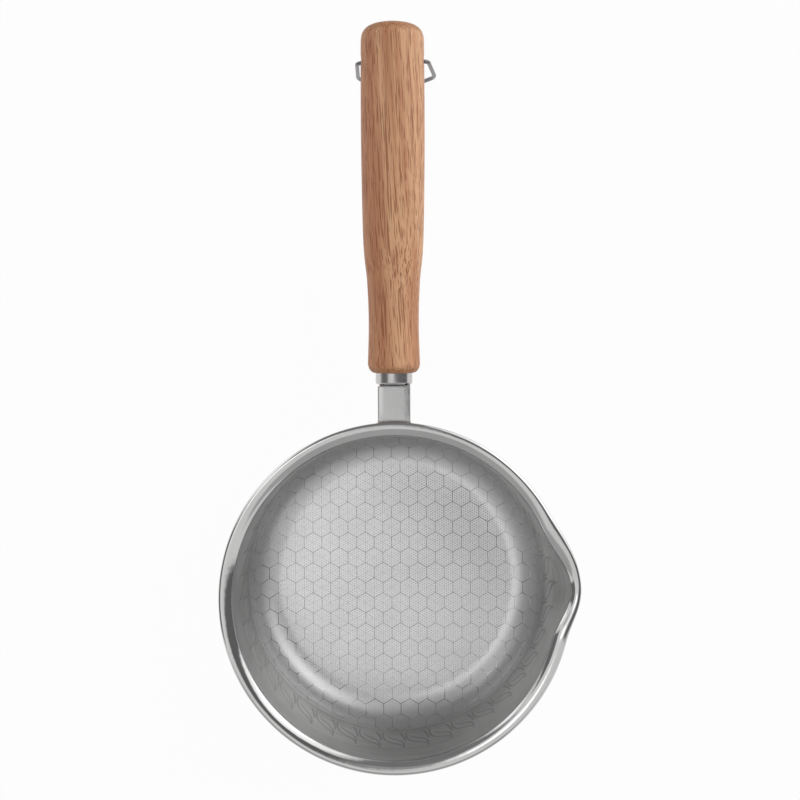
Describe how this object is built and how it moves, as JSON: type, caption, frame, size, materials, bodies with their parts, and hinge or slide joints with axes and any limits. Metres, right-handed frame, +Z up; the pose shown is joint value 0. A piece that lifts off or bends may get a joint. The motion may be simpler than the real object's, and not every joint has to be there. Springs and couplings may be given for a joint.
{
  "type": "frying pan",
  "caption": "Small steel frying pan with an upright wall, flared rolled lip and side pouring spout, on a turned wooden handle with a swinging wire hanging ring.",
  "frame": {"origin": "centre of the base where it stands on the stove", "axes": "+Z up, +Y out along the handle, +X towards the spout"},
  "size_m": [0.1648, 0.3398, 0.0803],
  "materials": {
    "pan_steel": "satin stainless steel, honeycomb-etched floor, polished lip",
    "core_aluminium": "plain rolled",
    "base_steel": "circular brushed magnetic steel",
    "bracket_steel": "satin",
    "weld_steel": "flat electrode marks",
    "fastener_steel": "zinc plated",
    "bright_steel": "bright",
    "insert_brass": "machined",
    "handle_wood": "oiled, open pores"
  },
  "bodies": {
    "pan": {"pan_shell": "pan_steel", "base_core_disc": "core_aluminium", "base_cap": "base_steel", "handle_bracket": "bracket_steel", "spot_weld_1": "weld_steel", "spot_weld_2": "weld_steel", "spot_weld_3": "weld_steel", "spot_weld_4": "weld_steel", "handle_bolt": "fastener_steel", "lock_washer": "fastener_steel", "ferrule": "bright_steel", "threaded_insert": "insert_brass", "handle_grip": "handle_wood"},
    "ring": {"hanging_ring": "bright_steel"}
  },
  "joints": [
    {"name": "ring_swing", "type": "hinge", "parent": "pan", "child": "ring", "pos_m": [0, 0.24294, 0.06506], "axis": [1, 0, 0], "range_deg": [-58, 246]}
  ]
}
